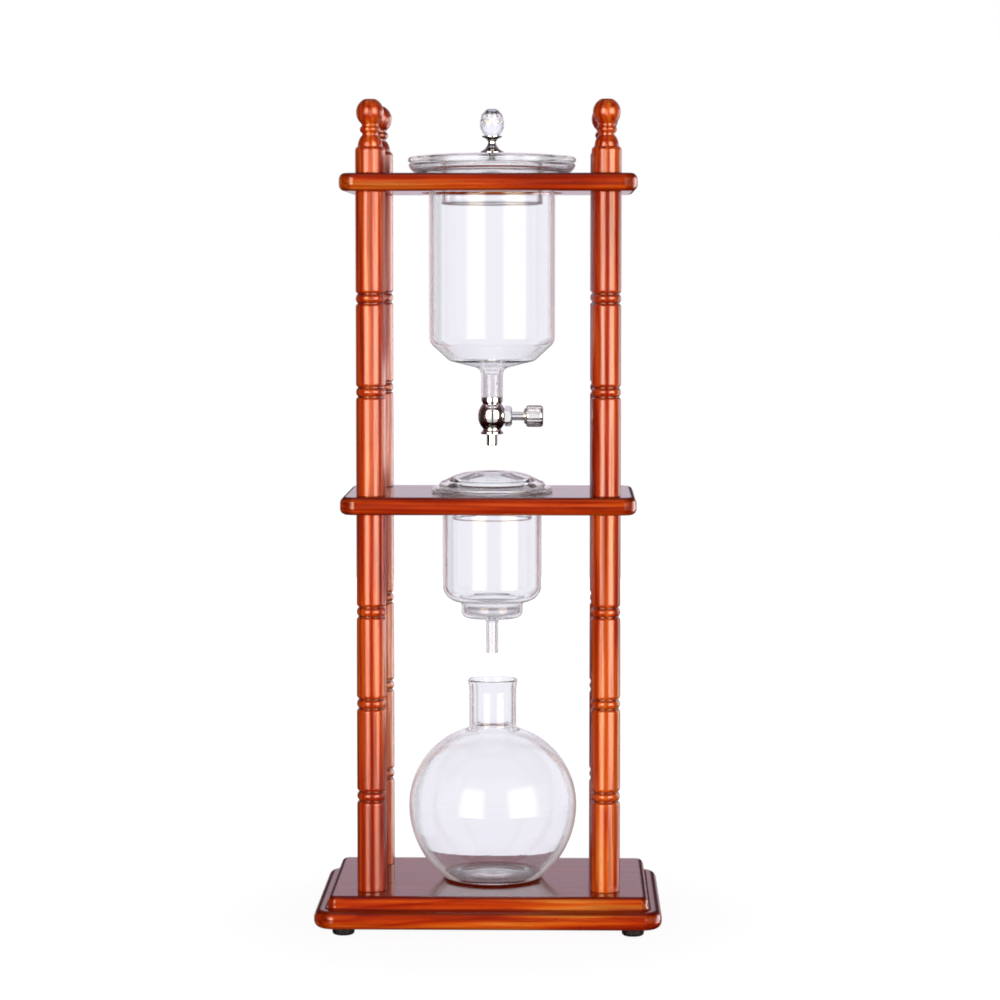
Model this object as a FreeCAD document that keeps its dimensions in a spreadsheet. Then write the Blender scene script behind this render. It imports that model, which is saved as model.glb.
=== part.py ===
import FreeCAD, Part
import math
import os

import Sketcher
from FreeCAD import Placement, Rotation, Vector

# Cold drip coffee tower: a wooden stand of turned posts and three boards that
# holds a lidded water vessel with a needle valve, a coffee vessel with its
# spreader lid and filter, and a round carafe.
# Millimetres, +Z up, +X to the valve knob's side, -Y to the front.
# The origin is on the table, under the middle of the base.

doc = FreeCAD.newDocument("ColdDripTower")

# ---------------------------------------------------------------- dimensions
sheet = doc.addObject("Spreadsheet::Sheet", "Dimensions")

DIMENSIONS = [
    # stand
    ("shelf_width", 215.0, "middle and top board, along X"),
    ("shelf_depth", 139.5, "middle and top board, along Y"),
    ("shelf_thick", 13.0, "board thickness"),
    ("shelf_corner", 11.0, "plan corner radius of a board"),
    ("shelf_round", 4.6, "rounding of a board's edges"),
    ("post_spacing_x", 170.6, "post centres along X"),
    ("post_spacing_y", 102.1, "post centres along Y"),
    ("post_radius", 10.85, "turned post"),
    ("lower_length", 276.6, "lower post"),
    ("upper_length", 220.4, "upper post"),
    ("lower_bead_a", 69.9, "bead centres above the lower post's foot"),
    ("lower_bead_b", 137.9, ""),
    ("lower_bead_c", 205.2, ""),
    ("upper_bead_a", 75.6, "bead centres above the upper post's foot"),
    ("upper_bead_b", 143.2, ""),
    ("bead_half", 3.2, "half height of a turned bead"),
    ("groove_depth", 1.5, "depth of the groove beside a bead"),
    ("groove_flat", 0.5, "width of the groove's floor"),
    ("shoulder", 2.3, "rounded shoulder of a cylinder beside a groove"),
    ("bore_radius", 3.05, "pilot bore for the dowel screws and base bolts"),
    ("bore_depth", 22.0, "depth of the pilot bores in the posts"),
    ("stud_radius", 3.0, "dowel screws and base bolts"),
    ("stud_reach", 20.0, "how far a stud goes into a post"),
    ("base_width", 252.6, "lower tier of the base, along X"),
    ("base_depth", 177.4, "lower tier of the base, along Y"),
    ("base_thick", 22.9, "base board"),
    ("base_tier", 13.2, "height of the lower tier"),
    ("base_step", 9.9, "how far the lower tier stands out"),
    ("base_corner", 15.0, "plan corner radius of the lower tier"),
    ("base_corner_top", 6.0, "plan corner radius of the upper tier"),
    ("base_round", 5.4, "bull nose of the lower tier"),
    ("base_top_round", 4.4, "rounding of the upper tier"),
    ("base_cove", 2.6, "cove between the tiers"),
    ("foot_height", 7.3, "rubber foot"),
    ("foot_radius", 8.25, "rubber foot"),
    ("foot_spacing_x", 211.2, "foot centres along X"),
    ("foot_spacing_y", 129.2, "foot centres along Y"),
    ("foot_screw_radius", 1.9, "foot screw shank"),
    ("finial_height", 53.3, "finial above the top board"),
    ("finial_reach", 16.0, "how far a stud goes into a finial"),
    # water vessel
    ("vessel_x", 1.5, "middle of the two vessels and of their holes, along X"),
    ("glass_wall", 2.6, "wall of the water vessel"),
    ("water_radius", 46.7, "outside of the water vessel"),
    ("water_neck_radius", 8.3, "outside of the water vessel's neck"),
    ("water_neck_bore", 5.9, "bore of the neck"),
    ("water_bottom_z", 389.7, "end of the neck above the table"),
    ("flare_start", 154.33, "start of the flared rim above the neck's end"),
    ("flare_bend", 10.18, "outside radius of the bend below the flared rim"),
    ("flare_upturn", 8.0, "outside radius of the rim's upturned edge"),
    ("hole_water", 52.2, "radius of the top board's hole"),
    ("hole_coffee", 37.6, "radius of the middle board's hole"),
    # water lid and knob
    ("lid_z", 562.1, "underside of the water lid's rim"),
    ("lid_radius", 62.2, "water lid"),
    ("lid_collar_radius", 37.5, "collar under the water lid"),
    ("lid_collar_length", 30.6, "collar under the water lid"),
    ("knob_z", 569.3, "top of the lid at the knob"),
    ("trumpet_height", 12.8, "metal holder of the crystal knob"),
    ("crystal_radius", 9.1, "crystal knob"),
    ("crystal_height", 20.1, "crystal knob"),
    # valve
    ("valve_z", 375.6, "centre of the valve ball"),
    ("duct_radius", 1.6, "water passage"),
    ("spigot_radius", 3.5, "tube that goes up into the neck"),
    ("needle_radius", 2.04, "valve needle"),
    ("needle_bore", 2.1, "its bore"),
    ("stem_radius", 3.15, "valve stem"),
    ("stem_bore", 3.22, "hole in the packing nut"),
    ("stem_length", 33.0, "end of the stem from the valve's axis"),
    ("tap_knob_radius", 8.1, "valve knob"),
    ("tap_knob_start", 23.7, "inner end of the knob from the valve's axis"),
    ("tap_knob_end", 38.0, "outer end of the knob from the valve's axis"),
    ("spout_radius", 3.9, "drip spout"),
    ("spout_length", 8.5, "drip spout below the valve"),
    # coffee vessel
    ("coffee_z", 199.1, "end of the coffee vessel's tube above the table"),
    ("coffee_radius", 36.8, "outside of the coffee vessel"),
    ("coffee_wall", 2.4, "wall of the coffee vessel"),
    ("coffee_flange", 43.9, "start of the flange's rounded edge"),
    ("well_radius", 22.9, "filter well of the coffee vessel"),
    ("tube_radius", 4.62, "outlet tube of the coffee vessel"),
    ("tube_bore", 3.0, "its bore"),
    ("coffee_lid_z", 323.3, "underside of the coffee lid's rim"),
    ("coffee_lid_radius", 39.6, "coffee lid"),
    ("coffee_collar_radius", 29.75, "collar under the coffee lid"),
    ("drip_hole_radius", 8.0, "hole in the coffee lid"),
    ("disc_radius", 17.7, "filter disc"),
    ("disc_thick", 4.0, "filter disc"),
    # carafe
    ("carafe_x", 2.0, "middle of the carafe, along X"),
    ("carafe_radius", 62.4, "widest radius of the carafe"),
    ("carafe_waist", 54.8, "height of the widest place above the base"),
    ("carafe_neck", 17.4, "outside of the carafe's neck"),
    ("carafe_wall", 2.2, "wall of the carafe"),
    ("carafe_height", 148.2, "carafe to the start of its lip"),
]


class Size:
    """A number together with the sheet formula that gives it."""

    def __init__(self, value, text):
        self.value = float(value)
        self.text = text

    def __add__(self, other):
        other = size(other)
        return Size(self.value + other.value, "(%s + %s)" % (self.text, other.text))

    def __radd__(self, other):
        return size(other) + self

    def __sub__(self, other):
        other = size(other)
        return Size(self.value - other.value, "(%s - %s)" % (self.text, other.text))

    def __rsub__(self, other):
        return size(other) - self

    def __mul__(self, other):
        other = size(other)
        return Size(self.value * other.value, "(%s * %s)" % (self.text, other.text))

    def __rmul__(self, other):
        return size(other) * self

    def __truediv__(self, other):
        other = size(other)
        return Size(self.value / other.value, "(%s / %s)" % (self.text, other.text))

    def __neg__(self):
        return Size(0, "0") - self


def size(value):
    if isinstance(value, Size):
        return value
    return Size(value, "%.6f" % value if value >= 0 else "(0 - %.6f)" % -value)


class Dims:
    pass


dim = Dims()
for row, (alias, number, note) in enumerate(DIMENSIONS, start=2):
    sheet.set("A%d" % row, alias)
    sheet.set("B%d" % row, "%g" % number)
    sheet.set("C%d" % row, note)
    sheet.setAlias("B%d" % row, alias)
    setattr(dim, alias, Size(number, "Dimensions." + alias))
doc.recompute()

# heights of the boards above the table
base_z = dim.foot_height
base_top = base_z + dim.base_thick
middle_z = base_top + dim.lower_length
middle_top = middle_z + dim.shelf_thick
top_z = middle_top + dim.upper_length
top_top = top_z + dim.shelf_thick

nodes = []


# ------------------------------------------------------------------ helpers
def new_body(name, at=(0, 0, 0), lying=False):
    """A body whose placement follows the sheet. A lying body has its own Z
    along the stand's X."""
    body = doc.addObject("PartDesign::Body", name)
    body.Label = name
    base = [size(v) for v in at]
    turn = Rotation(Vector(0, 1, 0), 90) if lying else Rotation()
    body.Placement = Placement(Vector(*[v.value for v in base]), turn)
    place(body, base)
    nodes.append(body)
    return body


def place(obj, at):
    for axis, value in zip("xyz", at):
        value = size(value)
        if value.text != "0.000000":
            obj.setExpression("Placement.Base." + axis, value.text)


def origin_plane(body, role):
    for feature in body.Origin.OriginFeatures:
        if feature.Role == role:
            return feature
    raise RuntimeError("no plane " + role)


def new_sketch(body, name, plane):
    sketch = body.newObject("Sketcher::SketchObject", name)
    sketch.AttachmentSupport = [(origin_plane(body, plane), "")]
    sketch.MapMode = "FlatFace"
    return sketch


def outline(body, name, points, plane="XZ_Plane"):
    """A closed outline. Each point is (x, y) or (x, y, radius); the radius
    belongs to the arc from that point to the next, positive when it turns
    left. Every coordinate and radius is a dimension bound to the sheet."""
    sketch = new_sketch(body, name, plane)
    pts = []
    for p in points:
        radius = size(p[2]) if len(p) > 2 else None
        pts.append((size(p[0]), size(p[1]), radius))
    ends = []
    for i, (x0, y0, radius) in enumerate(pts):
        x1, y1, _ = pts[(i + 1) % len(pts)]
        a = Vector(x0.value, y0.value, 0)
        b = Vector(x1.value, y1.value, 0)
        if radius is None:
            g = sketch.addGeometry(Part.LineSegment(a, b), False)
            ends.append((g, 1, 2))
            continue
        r = abs(radius.value)
        chord = b - a
        half = chord.Length / 2
        if half > r + 1e-9:
            raise RuntimeError("%s: arc %d is too small for its chord" % (name, i))
        left = Vector(-chord.y, chord.x, 0).normalize()
        rise = math.sqrt(max(r * r - half * half, 0.0))
        side = 1 if radius.value > 0 else -1
        c = (a + b) * 0.5 + left * (rise * side)
        first, last = (a, b) if side > 0 else (b, a)
        a0 = math.atan2(first.y - c.y, first.x - c.x)
        a1 = math.atan2(last.y - c.y, last.x - c.x)
        if a1 <= a0:
            a1 += 2 * math.pi
        arc = Part.ArcOfCircle(Part.Circle(c, Vector(0, 0, 1), r), a0, a1)
        g = sketch.addGeometry(arc, False)
        ends.append((g, 1, 2) if side > 0 else (g, 2, 1))
    bound = []
    count = len(pts)
    for i, (x, y, radius) in enumerate(pts):
        g, start, end = ends[i]
        before = ends[i - 1]
        sketch.addConstraint(Sketcher.Constraint("Coincident", before[0], before[2], g, start))
        for kind, axis, value, label in (("DistanceX", -2, x, "x"), ("DistanceY", -1, y, "y")):
            if abs(value.value) < 1e-9:
                sketch.addConstraint(Sketcher.Constraint("PointOnObject", g, start, axis))
            else:
                k = sketch.addConstraint(
                    Sketcher.Constraint(kind, -1, 1, g, start, value.value))
                bound.append((k, "%s%d" % (label, i), value.text))
        if radius is not None:
            k = sketch.addConstraint(Sketcher.Constraint("Radius", g, abs(radius.value)))
            text = radius.text if radius.value > 0 else "(0 - %s)" % radius.text
            bound.append((k, "r%d" % i, text))
    for k, label, text in bound:
        sketch.renameConstraint(k, label)
        sketch.setExpression("Constraints." + label, text)
    return sketch


def turned(name, points, at=(0, 0, 0), lying=False):
    """A body of revolution about its own Z from an outline in (radius, height)."""
    body = new_body(name, at, lying)
    sketch = outline(body, name + "_profile", points)
    spin = body.newObject("PartDesign::Revolution", name + "_turned")
    spin.Profile = sketch
    spin.ReferenceAxis = (sketch, ["V_Axis"])
    spin.Angle = 360
    sketch.Visibility = False
    doc.recompute()
    return body


def groove(body, name, points, axis="V_Axis"):
    before = body.Shape.Volume
    sketch = outline(body, name + "_profile", points)
    cut = body.newObject("PartDesign::Groove", name)
    cut.Profile = sketch
    cut.ReferenceAxis = (sketch, [axis])
    cut.Angle = 360
    doc.recompute()
    if body.Shape.Volume >= before - 1e-3:
        raise RuntimeError(name + " cuts nothing")
    return cut


def circles(body, name, centres, radius, plane="XY_Plane"):
    """A sketch of equal circles at the given centres."""
    sketch = new_sketch(body, name, plane)
    radius = size(radius)
    bound = []
    for i, (x, y) in enumerate(centres):
        x, y = size(x), size(y)
        g = sketch.addGeometry(
            Part.Circle(Vector(x.value, y.value, 0), Vector(0, 0, 1), radius.value), False)
        for kind, axis, value, label in (("DistanceX", -2, x, "x"), ("DistanceY", -1, y, "y")):
            if abs(value.value) < 1e-9:
                sketch.addConstraint(Sketcher.Constraint("PointOnObject", g, 3, axis))
            else:
                k = sketch.addConstraint(
                    Sketcher.Constraint(kind, -1, 1, g, 3, value.value))
                bound.append((k, "%s%d" % (label, i), value.text))
        k = sketch.addConstraint(Sketcher.Constraint("Radius", g, radius.value))
        bound.append((k, "r%d" % i, radius.text))
    for k, label, text in bound:
        sketch.renameConstraint(k, label)
        sketch.setExpression("Constraints." + label, text)
    return sketch


def pocket(body, name, sketch, length, reverse=True):
    before = body.Shape.Volume
    cut = body.newObject("PartDesign::Pocket", name)
    cut.Profile = sketch
    cut.Length = size(length).value
    cut.setExpression("Length", size(length).text)
    cut.Reversed = reverse
    doc.recompute()
    if body.Shape.Volume >= before - 1e-3:
        raise RuntimeError(name + " cuts nothing")
    return cut


def fillet(body, name, edges, radius):
    feature = body.Tip
    rounding = body.newObject("PartDesign::Fillet", name)
    rounding.Base = (feature, edges)
    rounding.Radius = size(radius).value
    rounding.setExpression("Radius", size(radius).text)
    doc.recompute()
    return rounding


def edges_where(body, test):
    """Names of the tip's edges that pass a test on their bounding box."""
    found = []
    for i, edge in enumerate(body.Tip.Shape.Edges, start=1):
        if test(edge.BoundBox, edge):
            found.append("Edge%d" % i)
    if not found:
        raise RuntimeError("no edge found on " + body.Label)
    return found


def rectangle(body, name, width, depth):
    """A centred rectangle on the body's own XY plane."""
    x, y = size(width) / 2, size(depth) / 2
    return outline(body, name, [(-x, -y), (x, -y), (x, y), (-x, y)], "XY_Plane")


def pad(body, name, sketch, length):
    feature = body.newObject("PartDesign::Pad", name)
    feature.Profile = sketch
    feature.Length = size(length).value
    feature.setExpression("Length", size(length).text)
    doc.recompute()
    return feature


POST_X = dim.post_spacing_x / 2
POST_Y = dim.post_spacing_y / 2
FOOT_X = dim.foot_spacing_x / 2
FOOT_Y = dim.foot_spacing_y / 2
CORNERS = [
    ("front_left", -1, -1),
    ("front_right", 1, -1),
    ("back_left", -1, 1),
    ("back_right", 1, 1),
]


def at_corner(x, y, sx, sy):
    return (x if sx > 0 else -x, y if sy > 0 else -y)


POSTS = [at_corner(POST_X, POST_Y, sx, sy) for _, sx, sy in CORNERS]
FEET = [at_corner(FOOT_X, FOOT_Y, sx, sy) for _, sx, sy in CORNERS]


# --------------------------------------------------------------- base board
# Two tiers routed from one board: a rounded upper tier, a cove, a bull nose.
def is_flat(box, z):
    return abs(box.ZMin - z) < 1e-4 and abs(box.ZMax - z) < 1e-4


def is_upright(box):
    return box.XLength < 1e-4 and box.YLength < 1e-4 and box.ZLength > 1


base = new_body("base_board", (0, 0, base_z))
pad(base, "base_lower_tier", rectangle(base, "base_lower_outline", dim.base_width, dim.base_depth),
    dim.base_tier)
fillet(base, "base_lower_corners", edges_where(base, lambda b, e: is_upright(b)), dim.base_corner)
tier_width = dim.base_width - 2 * dim.base_step
tier_depth = dim.base_depth - 2 * dim.base_step
pad(base, "base_upper_tier", rectangle(base, "base_upper_outline", tier_width, tier_depth),
    dim.base_thick)
fillet(base, "base_upper_corners",
       edges_where(base, lambda b, e: is_upright(b) and b.ZMax > dim.base_thick.value - 0.01),
       dim.base_corner_top)
fillet(base, "base_cove_round",
       edges_where(base, lambda b, e: is_flat(b, dim.base_tier.value)
                   and abs(b.Center.x) <= tier_width.value / 2 + 0.01
                   and abs(b.Center.y) <= tier_depth.value / 2 + 0.01
                   and max(abs(b.XMin), abs(b.XMax)) <= tier_width.value / 2 + 0.01
                   and max(abs(b.YMin), abs(b.YMax)) <= tier_depth.value / 2 + 0.01),
       dim.base_cove)
fillet(base, "base_bull_nose",
       edges_where(base, lambda b, e: (is_flat(b, dim.base_tier.value) or is_flat(b, 0))
                   and (max(abs(b.XMin), abs(b.XMax)) > tier_width.value / 2 + 4
                        or max(abs(b.YMin), abs(b.YMax)) > tier_depth.value / 2 + 4)),
       dim.base_round)
fillet(base, "base_top_rounding", edges_where(base, lambda b, e: is_flat(b, dim.base_thick.value)),
       dim.base_top_round)
pocket(base, "base_bolt_holes", circles(base, "base_bolt_circles", POSTS, dim.stud_radius + 0.1),
       dim.base_thick + 1)
pocket(base, "base_bolt_counterbores", circles(base, "base_counterbore_circles", POSTS, 6.4), 7.0)
pocket(base, "base_foot_pilots",
       circles(base, "base_pilot_circles", FEET, dim.foot_screw_radius + 0.05), 14.2)


# ------------------------------------------------------------------- shelves
def shelf(name, z, hole, chamfer):
    """A board with rounded corners and edges, a chamfered round hole for its
    vessel and four holes for the dowel screws."""
    body = new_body(name, (0, 0, z))
    thick = dim.shelf_thick
    pad(body, name + "_board", rectangle(body, name + "_outline", dim.shelf_width,
                                         dim.shelf_depth), thick)
    fillet(body, name + "_corners", edges_where(body, lambda b, e: is_upright(b)),
           dim.shelf_corner)
    fillet(body, name + "_edges",
           edges_where(body, lambda b, e: is_flat(b, 0) or is_flat(b, thick.value)),
           dim.shelf_round)
    pocket(body, name + "_hole", circles(body, name + "_hole_circle", [(dim.vessel_x, 0)], hole),
           thick + 1)
    feature = body.Tip
    edges = edges_where(
        body, lambda b, e: is_flat(b, thick.value) and abs(b.XLength - 2 * hole.value) < 0.01)
    bevel = body.newObject("PartDesign::Chamfer", name + "_hole_chamfer")
    bevel.Base = (feature, edges)
    bevel.Size = chamfer
    doc.recompute()
    pocket(body, name + "_dowel_holes",
           circles(body, name + "_dowel_circles", POSTS, dim.stud_radius + 0.1), thick + 1)
    return body


shelf("middle_shelf", middle_z, dim.hole_coffee, 2.0)
shelf("top_shelf", top_z, dim.hole_water, 1.4)


# --------------------------------------------------------------------- posts
def bead_points(centre):
    """Up the side of a post across one turned bead between two grooves."""
    r, half, deep = dim.post_radius, dim.bead_half, dim.groove_depth
    flat, step = dim.groove_flat, dim.shoulder
    arc = (half * half + deep * deep) / (2 * deep) * 1.03
    turn = (step * step + deep * deep) / (2 * deep)
    return [
        (r, centre - half - flat - step, turn),
        (r - deep, centre - half - flat),
        (r - deep, centre - half, arc),
        (r - deep, centre + half),
        (r - deep, centre + half + flat, turn),
        (r, centre + half + flat + step),
    ]


def post(name, at, length, beads):
    r, bore, deep = dim.post_radius, dim.bore_radius, dim.bore_depth
    points = [(0, deep), (bore, deep), (bore, 0), (r - 0.5, 0), (r, 0.5)]
    for centre in beads:
        points += bead_points(centre)
    points += [(r, length - 0.5), (r - 0.5, length), (bore, length),
               (bore, length - deep), (0, length - deep)]
    return turned(name, points, at)


for label, sx, sy in CORNERS:
    x, y = at_corner(POST_X, POST_Y, sx, sy)
    post("lower_post_" + label, (x, y, base_top), dim.lower_length,
         [dim.lower_bead_a, dim.lower_bead_b, dim.lower_bead_c])
for label, sx, sy in CORNERS:
    x, y = at_corner(POST_X, POST_Y, sx, sy)
    post("upper_post_" + label, (x, y, middle_top), dim.upper_length,
         [dim.upper_bead_a, dim.upper_bead_b])

# ------------------------------------------------------------------- finials
# Cylinder, shoulder, convex cone, waist, bead, neck and a ball with a flat top.
for label, sx, sy in CORNERS:
    x, y = at_corner(POST_X, POST_Y, sx, sy)
    r, bore = dim.post_radius, dim.bore_radius
    high = dim.finial_height
    turned("finial_" + label, [
        (bore, 0), (r - 0.5, 0), (r, 0.5), (r, 16.4, 3.0), (r - 1.45, 18.9),
        (r - 1.95, 19.3, 14.0), (6.5, 26.6), (5.7, 27.2), (5.7, 28.8),
        (6.3, 29.2, 2.75), (6.3, 33.6), (6.0, 34.0), (6.0, 35.2), (6.4, 35.7, 10.6),
        (9.98, 43.0, 10.4), (4.6, high - 0.35, 4.0), (3.4, high), (0, high),
        (0, dim.bore_depth - 4), (bore, dim.bore_depth - 4)],
        (x, y, top_top))

# ---------------------------------------------------------------------- feet
for label, sx, sy in CORNERS:
    x, y = at_corner(FOOT_X, FOOT_Y, sx, sy)
    r, high = dim.foot_radius, dim.foot_height
    turned("foot_" + label, [
        (4.2, 0), (r - 2.3, 0, 2.2), (r - 0.1, 2.2), (r, high - 0.6, 0.7), (r - 0.5, high),
        (2.1, high), (2.1, 3.5), (4.2, 3.5)], (x, y, 0))


# ----------------------------------------------------------------- fasteners
def four_of(name, points, x, y, z):
    """Four equal turned fasteners, one at each corner, as separate solids."""
    first = doc.addObject("PartDesign::Body", name + "_single")
    sketch = outline(first, name + "_profile", points)
    spin = first.newObject("PartDesign::Revolution", name + "_turned")
    spin.Profile = sketch
    spin.ReferenceAxis = (sketch, ["V_Axis"])
    spin.Angle = 360
    first.Placement = Placement(Vector(x.value, y.value, size(z).value), Rotation())
    place(first, (x, y, z))
    doc.recompute()
    across = doc.addObject("Part::Mirroring", name + "_mirror_x")
    across.Source = first
    across.Normal = Vector(1, 0, 0)
    pair = doc.addObject("Part::Compound", name + "_pair")
    pair.Links = [first, across]
    behind = doc.addObject("Part::Mirroring", name + "_mirror_y")
    behind.Source = pair
    behind.Normal = Vector(0, 1, 0)
    group = doc.addObject("Part::Compound", name)
    group.Label = name
    group.Links = [pair, behind]
    doc.recompute()
    nodes.append(group)
    return group


stud = dim.stud_radius
full = dim.shelf_thick + 2 * dim.stud_reach
four_of("middle_dowel_screws", [
    (0, 0), (stud - 1.4, 0), (stud, 2.2), (stud, full - 2.2), (stud - 1.4, full), (0, full)],
    POST_X, POST_Y, middle_z - dim.stud_reach)
full = dim.shelf_thick + dim.stud_reach + dim.finial_reach
four_of("top_dowel_screws", [
    (0, 0), (stud - 1.4, 0), (stud, 2.2), (stud, full - 2.2), (stud - 1.4, full), (0, full)],
    POST_X, POST_Y, top_z - dim.stud_reach)
full = dim.base_thick + dim.stud_reach
four_of("base_bolts", [
    (0, 4.2), (2.4, 4.2), (2.4, 1.6), (5.0, 1.6), (5.4, 2.0), (5.4, 7.0), (stud, 7.0),
    (stud, full - 1.5), (stud - 1.2, full), (0, full)], POST_X, POST_Y, base_z)
shank = dim.foot_screw_radius
four_of("foot_screws", [
    (0, 1.4), (2.2, 1.4, 3.4), (3.8, 3.5), (shank, 3.5), (shank, 18.5), (0.2, 20.6), (0, 20.6)],
    FOOT_X, FOOT_Y, 0)

# -------------------------------------------------------------- water vessel
# Blown glass: neck, shallow dish, rounded corner, straight body, and a flared
# rim that bends out over the board's hole and turns up at its edge.
w = dim.glass_wall
R = dim.water_radius
start = dim.flare_start


def sine(degrees):
    return math.sin(math.radians(degrees))


def cosine(degrees):
    return math.cos(math.radians(degrees))


LOW, HIGH = 20, 75
bend_r = R + dim.flare_bend * (1 - cosine(90 - LOW))
bend_z = start + dim.flare_bend * sine(90 - LOW)
flat_r = bend_r + 3.3 * cosine(LOW)
flat_z = bend_z + 3.3 * sine(LOW)
lip_r = flat_r + dim.flare_upturn * (sine(HIGH) - sine(LOW))
lip_z = flat_z + dim.flare_upturn * (cosine(LOW) - cosine(HIGH))
turned("water_vessel", [
    (dim.water_neck_bore, 0), (dim.water_neck_radius, 0),
    (dim.water_neck_radius, 16.8, -5.2), (12.0, 21.9), (28.5, 26.0, 9.0), (34.0, 29.0),
    (R - 3.6, 37.4, 9.5), (R, 45.5), (R, start, -dim.flare_bend),
    (bend_r, bend_z), (flat_r, flat_z, dim.flare_upturn), (lip_r, lip_z, w / 2 + 0.001),
    (lip_r - w * sine(HIGH), lip_z + w * cosine(HIGH), w - dim.flare_upturn),
    (flat_r - w * sine(LOW), flat_z + w * cosine(LOW)),
    (bend_r - w * sine(LOW), bend_z + w * cosine(LOW), dim.flare_bend + w),
    (R - w, start), (R - w, 45.5, -6.9),
    (R - 5.46, 39.21), (32.14, 30.81, -6.4), (27.87, 28.52), (11.37, 24.42, 6.5),
    (dim.water_neck_bore, 18.5)],
    (dim.vessel_x, 0, dim.water_bottom_z))

# ----------------------------------------------------------------- water lid
collar = dim.lid_collar_radius
long = dim.lid_collar_length
turned("water_lid", [
    (2.6, 4.0), (7.0, 4.0), (collar - 2.6, 3.4), (collar - 2.6, -(long - 1.3), 1.31),
    (collar, -(long - 1.3)), (collar, 3.0), (54.5, 1.6, 4.0), (57.2, 0),
    (dim.lid_radius - 2.3, 0, 2.31), (dim.lid_radius - 2.3, 4.6, 380.0), (11.0, 7.2), (2.6, 7.2)],
    (dim.vessel_x, 0, dim.lid_z))

# The screw comes up through the lid into the trumpet-shaped knob holder.
turned("knob_washer", [(2.6, 0), (6.0, 0), (6.4, 0.4), (6.4, 1.0), (2.6, 1.0)],
       (dim.vessel_x, 0, dim.lid_z + 2.94))
turned("knob_screw", [
    (0, 1.2), (1.6, 1.2), (1.6, 0), (3.6, 0, 1.4), (4.6, 1.6), (4.6, 2.2), (2.0, 2.2),
    (2.0, 11.6), (1.2, 12.4), (0, 12.4)],
    (dim.vessel_x, 0, dim.lid_z + 2.94 - 2.2))
top = dim.trumpet_height
turned("lid_knob_base", [
    (2.05, 0), (8.1, 0, 0.6), (8.65, 0.8, 0.8), (8.1, 1.5), (7.2, 1.9, -9.0), (2.7, 8.4, -5.0),
    (6.6, top - 1.2), (7.4, top - 0.6, 0.45), (7.1, top), (5.9, top), (4.9, top - 0.4),
    (0, top - 0.4), (0, 7.0), (2.05, 7.0)],
    (dim.vessel_x, 0, dim.knob_z))

# Faceted crystal: staggered rings of ten corners, flat table at both ends.
sides = 10
tall = dim.crystal_height.value
wide = dim.crystal_radius.value
rings = [(0.0, 0.50), (0.125, 0.78), (0.33, 0.97), (0.56, 1.0), (0.79, 0.83), (0.94, 0.56),
         (1.0, 0.34)]
corners = []
for level, (height, share) in enumerate(rings):
    ring = []
    for i in range(sides):
        angle = 2 * math.pi * (i + 0.5 * (level % 2)) / sides
        ring.append(Vector(wide * share * math.cos(angle), wide * share * math.sin(angle),
                           tall * height))
    corners.append(ring)
faces = [Part.Face(Part.makePolygon(corners[0] + corners[0][:1])),
         Part.Face(Part.makePolygon(corners[-1] + corners[-1][:1]))]
for level in range(len(rings) - 1):
    low, high_ring = corners[level], corners[level + 1]
    for i in range(sides):
        j = (i + 1) % sides
        if level % 2 == 0:
            triangles = ((low[i], low[j], high_ring[i]), (low[j], high_ring[j], high_ring[i]))
        else:
            triangles = ((low[i], high_ring[j], high_ring[i]), (low[i], low[j], high_ring[j]))
        for a, b, c in triangles:
            faces.append(Part.Face(Part.makePolygon([a, b, c, a])))
crystal_solid = Part.makeSolid(Part.makeShell(faces))
if crystal_solid.Volume < 0:
    crystal_solid.reverse()
crystal = doc.addObject("Part::Feature", "crystal_knob")
crystal.Label = "crystal_knob"
crystal.Shape = crystal_solid
crystal.Placement = Placement(
    Vector(dim.vessel_x.value, 0, (dim.knob_z + dim.trumpet_height - 0.35).value), Rotation())
crystal.setExpression("Placement.Base.x", dim.vessel_x.text)
crystal.setExpression("Placement.Base.z", (dim.knob_z + dim.trumpet_height - 0.35).text)
nodes.append(crystal)

# --------------------------------------------------------------------- valve
# Ball-shaped body: skirt, ball, collar and the tube that goes into the neck,
# then the side boss with the needle's bore and the packing chamber.
duct = dim.duct_radius
valve = turned("valve_body", [
    (3.05, -13.3), (7.9, -13.3, 0.6), (8.35, -12.8), (8.35, -12.0, -3.2), (6.6, -9.3, 13.4),
    (6.9, 9.0, -2.0), (7.9, 10.8), (7.9, 13.5, 0.7), (7.4, 14.1), (dim.spigot_radius, 14.1),
    (dim.spigot_radius, 32.4), (duct, 32.4), (duct, -7.6), (3.05, -7.6)],
    (dim.vessel_x, 0, dim.valve_z))
boss_sketch = outline(valve, "valve_boss_profile", [(6.0, 0), (11.0, 0), (11.0, 5.45), (6.0, 5.45)])
boss = valve.newObject("PartDesign::Revolution", "valve_boss")
boss.Profile = boss_sketch
boss.ReferenceAxis = (boss_sketch, ["H_Axis"])
boss.Angle = 360
doc.recompute()
groove(valve, "valve_needle_bore", [
    (-2.8, 0), (11.5, 0), (11.5, 3.6), (6.0, 3.6), (6.0, dim.needle_bore), (-2.8, dim.needle_bore)],
    "H_Axis")

turned("valve_sleeve", [
    (dim.spigot_radius + 0.05, 0.1), (dim.water_neck_bore - 0.05, 0.1),
    (dim.water_neck_bore - 0.05, 16.6, 0.7), (dim.water_neck_bore - 0.6, 17.3),
    (dim.spigot_radius + 0.05, 17.3)],
    (dim.vessel_x, 0, dim.water_bottom_z))

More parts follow.
